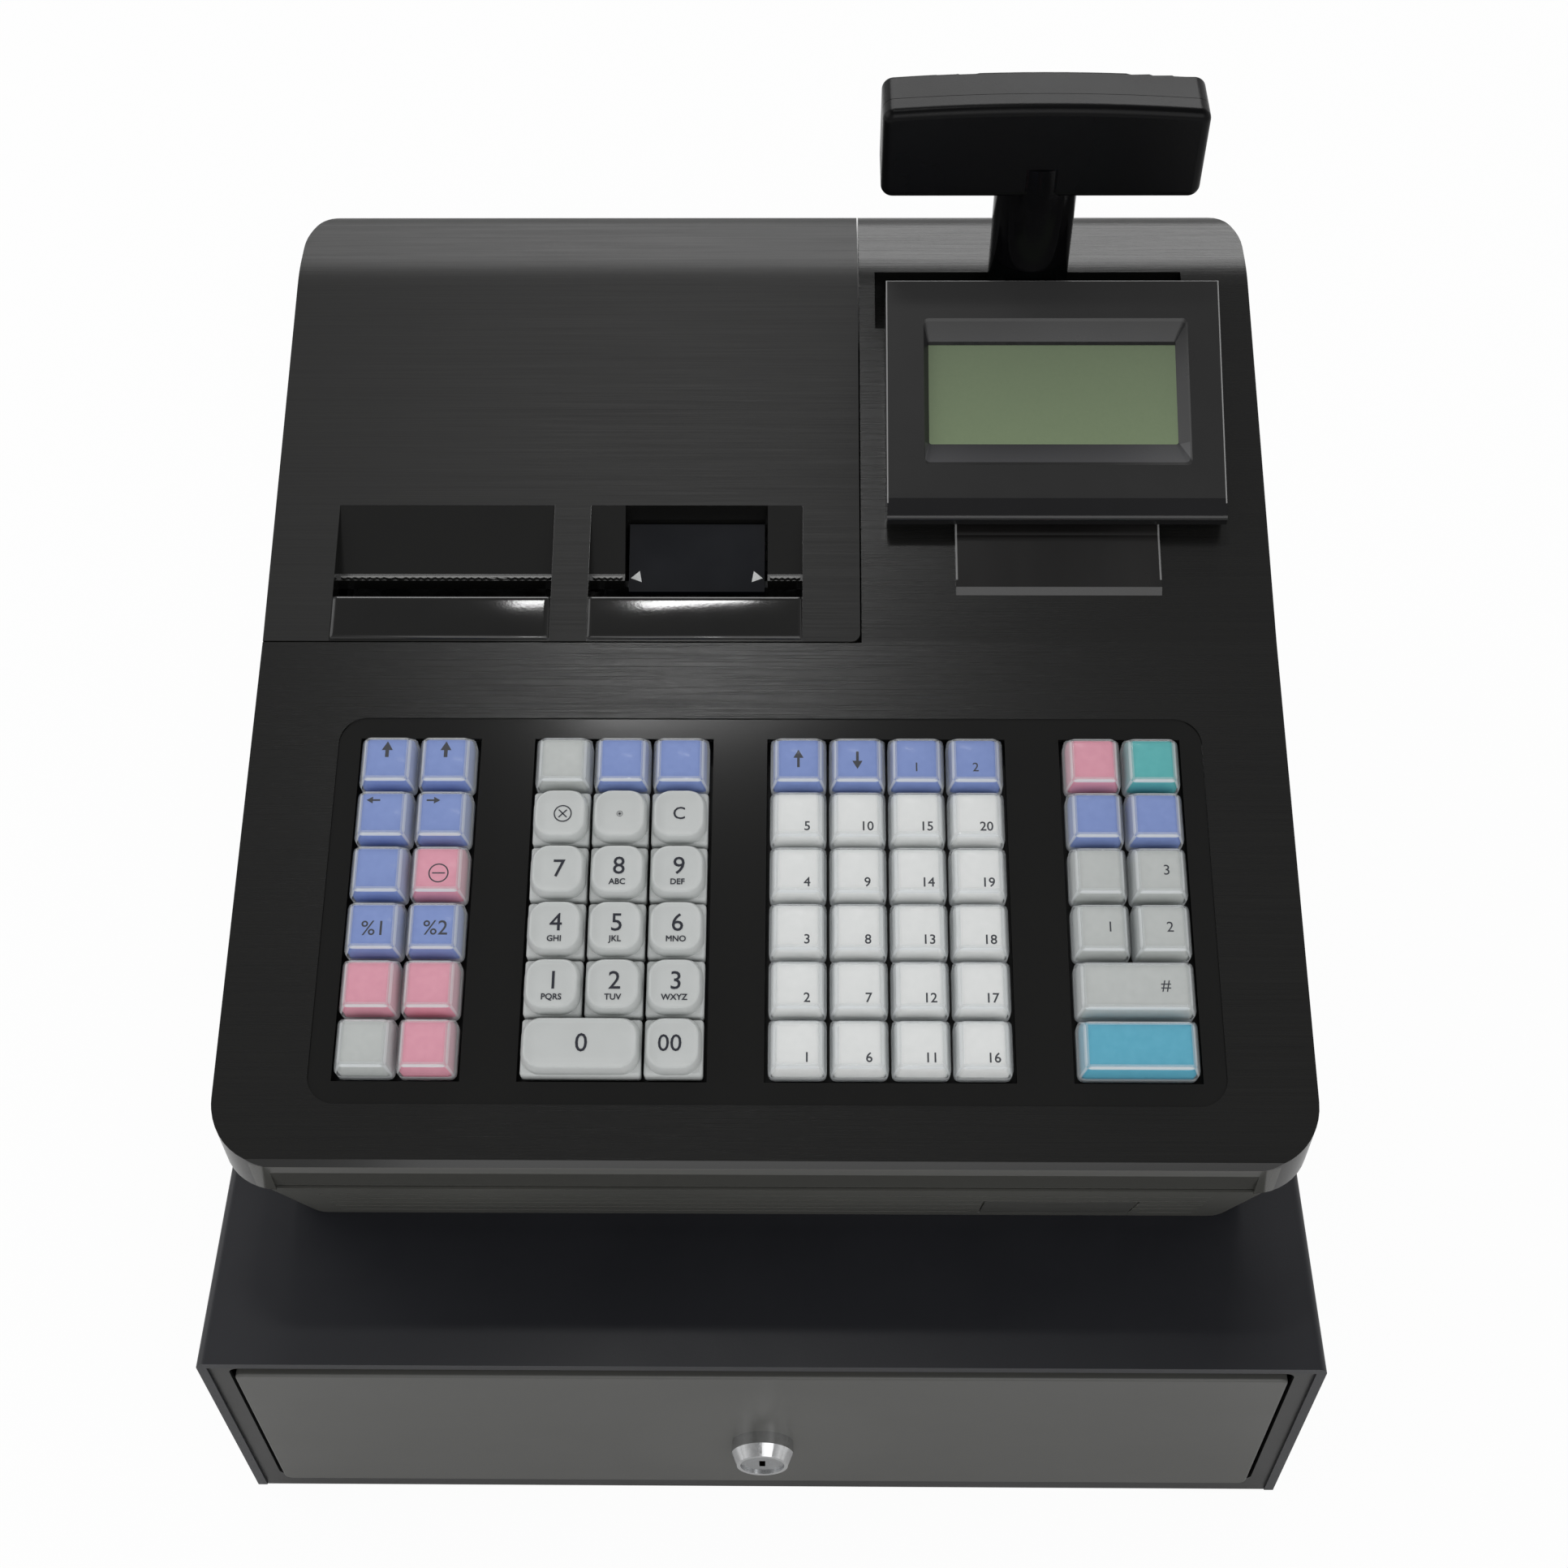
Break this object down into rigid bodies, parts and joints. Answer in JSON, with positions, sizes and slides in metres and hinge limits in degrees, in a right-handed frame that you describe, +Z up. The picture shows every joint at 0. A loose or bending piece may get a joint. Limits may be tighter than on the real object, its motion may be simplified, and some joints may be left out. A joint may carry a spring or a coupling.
{
  "type": "cash register",
  "caption": "Electronic cash register on a steel cash drawer: key panel, lift-up printer cover with paper slots, tilting operator screen and pop-up customer display.",
  "frame": {"origin": "on the counter, under the middle of the whole part's bounding box", "axes": "+X to the operator's right, +Y away from the operator, +Z up"},
  "size_m": [0.36, 0.425, 0.3524],
  "materials": {
    "case_top_paint": "near-black powder coat with a fine texture",
    "front_paint": "satin dark grey paint",
    "body_grey": "fine-textured dark grey moulding",
    "cover_grey": "fine-textured dark grey moulding",
    "galvanised": "bright zinc-plated sheet",
    "chrome": "polished chrome plate",
    "spring_steel": "bright steel",
    "foot_rubber": "matt black rubber",
    "tray_plastic": "smooth dark grey moulding",
    "key_plastic": "clear caps over coloured inserts and satin grey number keys",
    "black_plastic": "black moulding",
    "gloss_black": "gloss black moulding",
    "board": "green circuit board",
    "core_iron": "varnished laminations",
    "paper": "white paper",
    "roller_rubber": "grey rubber on a steel shaft",
    "screen": "reflective grey-green screen",
    "window_tint": "smoked window"
  },
  "bodies": {
    "case": {"drawer_base": "front_paint", "drawer_cover": "case_top_paint", "rubber_feet": "foot_rubber", "slide_outer_rails": "galvanised", "release_solenoid": "galvanised", "base_chassis": "galvanised", "lower_cabinet": "body_grey", "top_cabinet": "body_grey", "cord_gland": "black_plastic", "cabinet_screws": "spring_steel", "paper_guide": "gloss_black", "printer_frame": "galvanised", "key_frame": "black_plastic", "key_board": "board", "main_board": "board", "transformer": "core_iron", "display_bracket": "gloss_black", "stem_socket": "black_plastic"},
    "drawer": {"slide_inner_rails": "galvanised", "drawer_pan": "galvanised", "drawer_front": "front_paint", "coin_tray": "tray_plastic", "lock_housing": "chrome"},
    "ball_cages": {"slide_ball_cages": "spring_steel"},
    "clips": {"bill_clips": "spring_steel"},
    "lock_cylinder": {"lock_plug": "chrome"},
    "latch": {"latch_hook": "spring_steel"},
    "plunger": {"solenoid_plunger": "spring_steel"},
    "cover": {"printer_cover": "cover_grey"},
    "receipt_feed": {"receipt_platen": "roller_rubber"},
    "journal_feed": {"journal_platen": "roller_rubber"},
    "receipt_paper": {"receipt_roll": "paper"},
    "journal_paper": {"journal_roll": "paper"},
    "journal_spool": {"take_up_spool": "black_plastic"},
    "door": {"card_door": "body_grey"},
    "operator_display": {"display_shell": "body_grey", "display_bezel": "body_grey", "display_screen": "screen"},
    "stem": {"display_stem": "body_grey"},
    "head": {"head_neck_shell": "body_grey", "head_window_shell": "body_grey", "head_window": "window_tint"},
    "digit_key_zero": {"key_0": "key_plastic"},
    "digit_key_double_zero": {"key_00": "key_plastic"},
    "digit_key_1": {"key_1": "key_plastic"},
    "digit_key_2": {"key_2": "key_plastic"},
    "digit_key_3": {"key_3": "key_plastic"},
    "digit_key_4": {"key_4": "key_plastic"},
    "digit_key_5": {"key_5": "key_plastic"},
    "digit_key_6": {"key_6": "key_plastic"},
    "digit_key_7": {"key_7": "key_plastic"},
    "digit_key_8": {"key_8": "key_plastic"},
    "digit_key_9": {"key_9": "key_plastic"},
    "entry_bank": {"entry_keys": "key_plastic"},
    "function_bank": {"left_function_keys": "key_plastic"},
    "department_bank_left": {"department_keys_left": "key_plastic"},
    "department_bank_right": {"department_keys_right": "key_plastic"},
    "transaction_bank": {"transaction_keys": "key_plastic"},
    "subtotal": {"subtotal_key": "key_plastic"},
    "total": {"total_key": "key_plastic"}
  },
  "joints": [
    {"name": "drawer_slide", "type": "slide", "parent": "case", "child": "drawer", "axis": [0, -1, 0], "range_m": [0, 0.29]},
    {"name": "ball_cage_roll", "type": "slide", "parent": "case", "child": "ball_cages", "axis": [0, -1, 0], "range_m": [0, 0.145]},
    {"name": "bill_clip_lift", "type": "hinge", "parent": "drawer", "child": "clips", "pos_m": [0, 0.09575, 0.085], "axis": [-1, 0, 0], "range_deg": [0, 35]},
    {"name": "lock_turn", "type": "hinge", "parent": "drawer", "child": "lock_cylinder", "pos_m": [0, -0.2035, 0.05], "axis": [0, -1, 0], "range_deg": [0, 90]},
    {"name": "latch_swing", "type": "hinge", "parent": "case", "child": "latch", "pos_m": [0, 0.2065, 0.038], "axis": [1, 0, 0], "range_deg": [0, 25]},
    {"name": "plunger_slide", "type": "slide", "parent": "case", "child": "plunger", "axis": [0, 0, 1], "range_m": [-0.005, 0]},
    {"name": "printer_cover_lift", "type": "hinge", "parent": "case", "child": "cover", "pos_m": [0, 0.174, 0.209], "axis": [-1, 0, 0], "range_deg": [0, 75]},
    {"name": "receipt_roll_turn", "type": "hinge", "parent": "case", "child": "receipt_paper", "pos_m": [-0.1085, 0.0965, 0.172], "axis": [1, 0, 0], "continuous": true},
    {"name": "receipt_platen_turn", "type": "hinge", "parent": "case", "child": "receipt_feed", "pos_m": [-0.1085, 0.0265, 0.212], "axis": [1, 0, 0], "continuous": true},
    {"name": "journal_roll_turn", "type": "hinge", "parent": "case", "child": "journal_paper", "pos_m": [-0.0222, 0.0965, 0.172], "axis": [1, 0, 0], "continuous": true},
    {"name": "journal_platen_turn", "type": "hinge", "parent": "case", "child": "journal_feed", "pos_m": [-0.0222, 0.0265, 0.212], "axis": [1, 0, 0], "continuous": true},
    {"name": "take_up_turn", "type": "hinge", "parent": "case", "child": "journal_spool", "pos_m": [-0.0222, 0.1465, 0.22], "axis": [1, 0, 0], "continuous": true},
    {"name": "card_door_open", "type": "hinge", "parent": "case", "child": "door", "pos_m": [0.09575, -0.15153, 0.11822], "axis": [1, 0, 0], "range_deg": [0, 80]},
    {"name": "display_tilt", "type": "hinge", "parent": "case", "child": "operator_display", "pos_m": [0.099, 0.0445, 0.246], "axis": [1, 0, 0], "range_deg": [0, 35]},
    {"name": "stem_slide", "type": "slide", "parent": "case", "child": "stem", "axis": [0, 0, -1], "range_m": [0, 0.06]},
    {"name": "head_swivel", "type": "hinge", "parent": "stem", "child": "head", "pos_m": [0.0916, 0.1305, 0.3], "axis": [0, 0, 1], "range_deg": [-90, 0]},
    {"name": "key_0_press", "type": "slide", "parent": "case", "child": "digit_key_zero", "axis": [0, 0.256, -0.9667], "range_m": [0, 0.004], "stiffness_N_per_m": 150, "springref_m": -0.003},
    {"name": "key_00_press", "type": "slide", "parent": "case", "child": "digit_key_double_zero", "axis": [0, 0.256, -0.9667], "range_m": [0, 0.004], "stiffness_N_per_m": 150, "springref_m": -0.003},
    {"name": "key_1_press", "type": "slide", "parent": "case", "child": "digit_key_1", "axis": [0, 0.256, -0.9667], "range_m": [0, 0.004], "stiffness_N_per_m": 150, "springref_m": -0.003},
    {"name": "key_2_press", "type": "slide", "parent": "case", "child": "digit_key_2", "axis": [0, 0.256, -0.9667], "range_m": [0, 0.004], "stiffness_N_per_m": 150, "springref_m": -0.003},
    {"name": "key_3_press", "type": "slide", "parent": "case", "child": "digit_key_3", "axis": [0, 0.256, -0.9667], "range_m": [0, 0.004], "stiffness_N_per_m": 150, "springref_m": -0.003},
    {"name": "key_4_press", "type": "slide", "parent": "case", "child": "digit_key_4", "axis": [0, 0.256, -0.9667], "range_m": [0, 0.004], "stiffness_N_per_m": 150, "springref_m": -0.003},
    {"name": "key_5_press", "type": "slide", "parent": "case", "child": "digit_key_5", "axis": [0, 0.256, -0.9667], "range_m": [0, 0.004], "stiffness_N_per_m": 150, "springref_m": -0.003},
    {"name": "key_6_press", "type": "slide", "parent": "case", "child": "digit_key_6", "axis": [0, 0.256, -0.9667], "range_m": [0, 0.004], "stiffness_N_per_m": 150, "springref_m": -0.003},
    {"name": "key_7_press", "type": "slide", "parent": "case", "child": "digit_key_7", "axis": [0, 0.256, -0.9667], "range_m": [0, 0.004], "stiffness_N_per_m": 150, "springref_m": -0.003},
    {"name": "key_8_press", "type": "slide", "parent": "case", "child": "digit_key_8", "axis": [0, 0.256, -0.9667], "range_m": [0, 0.004], "stiffness_N_per_m": 150, "springref_m": -0.003},
    {"name": "key_9_press", "type": "slide", "parent": "case", "child": "digit_key_9", "axis": [0, 0.256, -0.9667], "range_m": [0, 0.004], "stiffness_N_per_m": 150, "springref_m": -0.003},
    {"name": "entry_keys_press", "type": "slide", "parent": "case", "child": "entry_bank", "axis": [0, 0.256, -0.9667], "range_m": [0, 0.004], "stiffness_N_per_m": 900, "springref_m": -0.003},
    {"name": "left_function_keys_press", "type": "slide", "parent": "case", "child": "function_bank", "axis": [0, 0.256, -0.9667], "range_m": [0, 0.004], "stiffness_N_per_m": 1800, "springref_m": -0.003},
    {"name": "department_keys_left_press", "type": "slide", "parent": "case", "child": "department_bank_left", "axis": [0, 0.256, -0.9667], "range_m": [0, 0.004], "stiffness_N_per_m": 1800, "springref_m": -0.003},
    {"name": "department_keys_right_press", "type": "slide", "parent": "case", "child": "department_bank_right", "axis": [0, 0.256, -0.9667], "range_m": [0, 0.004], "stiffness_N_per_m": 1800, "springref_m": -0.003},
    {"name": "transaction_keys_press", "type": "slide", "parent": "case", "child": "transaction_bank", "axis": [0, 0.256, -0.9667], "range_m": [0, 0.004], "stiffness_N_per_m": 1200, "springref_m": -0.003},
    {"name": "subtotal_key_press", "type": "slide", "parent": "case", "child": "subtotal", "axis": [0, 0.256, -0.9667], "range_m": [0, 0.004], "stiffness_N_per_m": 150, "springref_m": -0.003},
    {"name": "total_key_press", "type": "slide", "parent": "case", "child": "total", "axis": [0, 0.256, -0.9667], "range_m": [0, 0.004], "stiffness_N_per_m": 150, "springref_m": -0.003}
  ],
  "couplings": [
    {"joint": "ball_cage_roll", "follows": "drawer_slide", "ratio": 0.5},
    {"joint": "latch_swing", "follows": "plunger_slide", "rad_per_m": -83.333},
    {"joint": "receipt_platen_turn", "follows": "receipt_roll_turn", "ratio": 6.3333},
    {"joint": "journal_platen_turn", "follows": "journal_roll_turn", "ratio": 6.3333},
    {"joint": "take_up_turn", "follows": "journal_roll_turn", "ratio": 4.75}
  ]
}
